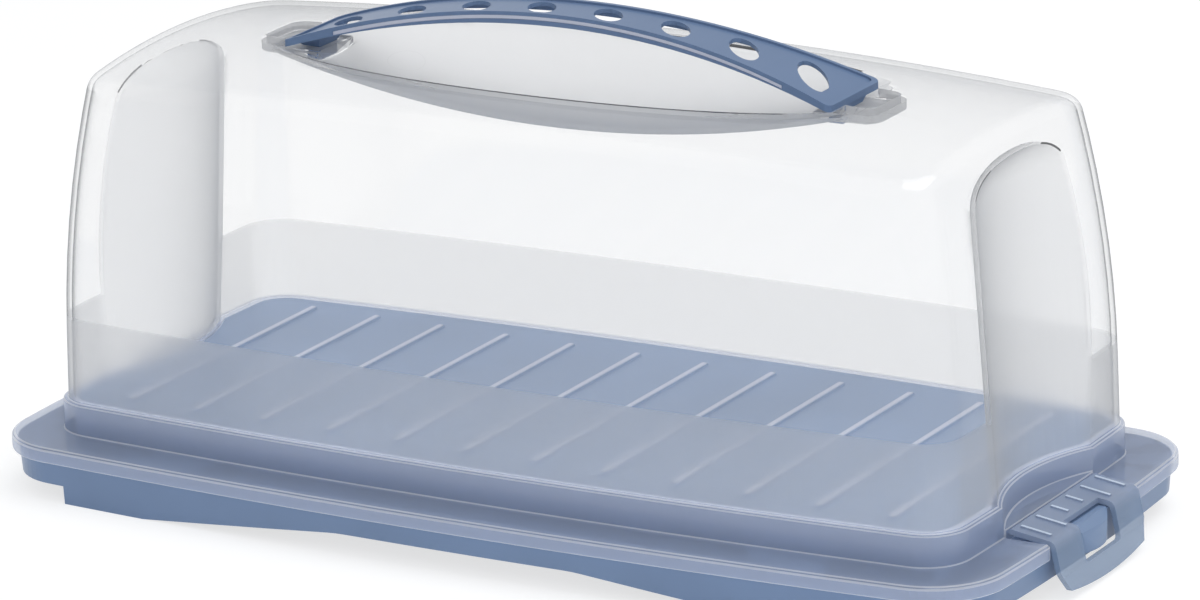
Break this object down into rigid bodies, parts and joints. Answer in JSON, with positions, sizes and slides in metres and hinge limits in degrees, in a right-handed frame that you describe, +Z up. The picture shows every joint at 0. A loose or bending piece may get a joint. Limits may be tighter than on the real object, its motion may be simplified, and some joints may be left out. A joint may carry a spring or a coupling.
{
  "type": "cake carrier",
  "caption": "Long cake carrier: ribbed tray on a raised foot, clear domed hood that lifts off, arched carry handle on top and a hinged snap latch at each short end.",
  "frame": {"origin": "middle of the tray's footprint on the surface that the carrier stands on, with hood and latches closed", "axes": "+X along the carrier's length towards latch_right, +Y across it, +Z up; metres"},
  "size_m": [0.3548, 0.17, 0.1548],
  "materials": {
    "tray_plastic": "satin moulded polypropylene",
    "clear_plastic": "clear polished moulding, fine frosted grain around its lower part",
    "handle_plastic": "glossy moulded polypropylene",
    "latch_plastic": "translucent moulded polypropylene"
  },
  "bodies": {
    "base": {"base_tray": "tray_plastic"},
    "hood": {"hood": "clear_plastic", "carry_handle": "handle_plastic"},
    "latch_left": {"latch_left": "latch_plastic"},
    "latch_right": {"latch_right": "latch_plastic"}
  },
  "joints": [
    {"name": "hood_lift", "type": "slide", "parent": "base", "child": "hood", "axis": [0, 0, 1], "range_m": [0, 0.16]},
    {"name": "latch_left_hinge", "type": "hinge", "parent": "hood", "child": "latch_left", "pos_m": [-0.1589, 0, 0.0199], "axis": [0, 1, 0], "range_deg": [0, 90]},
    {"name": "latch_right_hinge", "type": "hinge", "parent": "hood", "child": "latch_right", "pos_m": [0.1589, 0, 0.0199], "axis": [0, -1, 0], "range_deg": [0, 90]}
  ]
}
